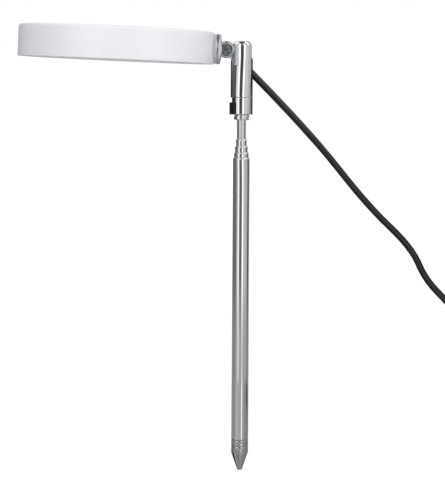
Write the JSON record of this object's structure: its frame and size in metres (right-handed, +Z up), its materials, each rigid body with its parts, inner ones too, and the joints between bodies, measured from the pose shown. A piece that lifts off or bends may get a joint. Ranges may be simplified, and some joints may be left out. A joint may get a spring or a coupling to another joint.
{
  "type": "telescopic stake grow light",
  "caption": "Round LED grow light with a tilting head on a telescopic soil stake, with a slide switch and a USB lead.",
  "frame": {"origin": "on the mast's axis at the soil line, 60.6 mm above the point of the stake", "axes": "+Z up along the mast, -X from the mast towards the lamp head, +X towards the lead, +Y towards the rear cover"},
  "size_m": [0.3857, 0.1334, 0.2602],
  "materials": {
    "chromed_steel": "polished",
    "turned_steel": "satin",
    "zinc_steel": "satin",
    "brass_sleeve": "satin",
    "white_shell": "satin",
    "frosted_lens": "satin",
    "board_white": "matte",
    "led_white": "gloss",
    "led_red": "gloss",
    "black_plastic": "satin",
    "black_rubber": "matte",
    "circuit_green": "satin",
    "nickel_shell": "satin",
    "gold_contact": "polished"
  },
  "bodies": {
    "ground_tube": {"outer_tube": "chromed_steel", "stake_tip": "turned_steel"},
    "section_1": {"mast_section_1": "chromed_steel", "section_1_sleeve": "brass_sleeve"},
    "section_2": {"mast_section_2": "chromed_steel", "section_2_sleeve": "brass_sleeve"},
    "section_3": {"mast_section_3": "chromed_steel", "section_3_sleeve": "brass_sleeve"},
    "rod": {"mast_rod": "chromed_steel", "rod_sleeve": "brass_sleeve", "threaded_stud": "turned_steel"},
    "housing": {"lower_housing": "chromed_steel", "upper_housing": "chromed_steel", "rear_cover": "black_plastic", "switch_cover": "black_plastic", "switch_track": "black_plastic", "cover_screws": "zinc_steel", "cord_grommet": "black_rubber", "circuit_board": "circuit_green", "switch_body": "black_plastic", "cord": "black_rubber", "cord_coil": "black_rubber", "cord_tail": "black_rubber", "cord_tie": "black_plastic", "usb_plug_body": "black_plastic", "usb_plug_shell": "nickel_shell", "usb_plug_tongue": "black_plastic", "usb_contacts": "gold_contact"},
    "switch": {"switch_knob": "black_plastic", "switch_actuator": "black_plastic"},
    "head": {"head_bracket": "chromed_steel", "hinge_screw": "chromed_steel", "hinge_nut": "zinc_steel", "hinge_washers": "zinc_steel", "head_shell": "white_shell", "lens_cover": "frosted_lens", "led_board": "board_white", "white_leds": "led_white", "red_leds": "led_red", "board_screws": "zinc_steel", "bracket_screws": "zinc_steel"}
  },
  "joints": [
    {"name": "section_1_slide", "type": "slide", "parent": "ground_tube", "child": "section_1", "axis": [0, 0, 1], "range_m": [0, 0.148]},
    {"name": "section_2_slide", "type": "slide", "parent": "section_1", "child": "section_2", "axis": [0, 0, 1], "range_m": [0, 0.151]},
    {"name": "section_3_slide", "type": "slide", "parent": "section_2", "child": "section_3", "axis": [0, 0, 1], "range_m": [0, 0.155]},
    {"name": "rod_slide", "type": "slide", "parent": "section_3", "child": "rod", "axis": [0, 0, 1], "range_m": [0, 0.159]},
    {"name": "head_pan", "type": "hinge", "parent": "rod", "child": "housing", "pos_m": [0, 0, 0.148], "axis": [0, 0, 1], "continuous": true},
    {"name": "head_tilt", "type": "hinge", "parent": "housing", "child": "head", "pos_m": [-0.009, 0, 0.1854], "axis": [0, 1, 0], "range_deg": [-37, 62]},
    {"name": "power_switch", "type": "slide", "parent": "housing", "child": "switch", "axis": [0, 0, 1], "range_m": [0, 0.0024]}
  ]
}
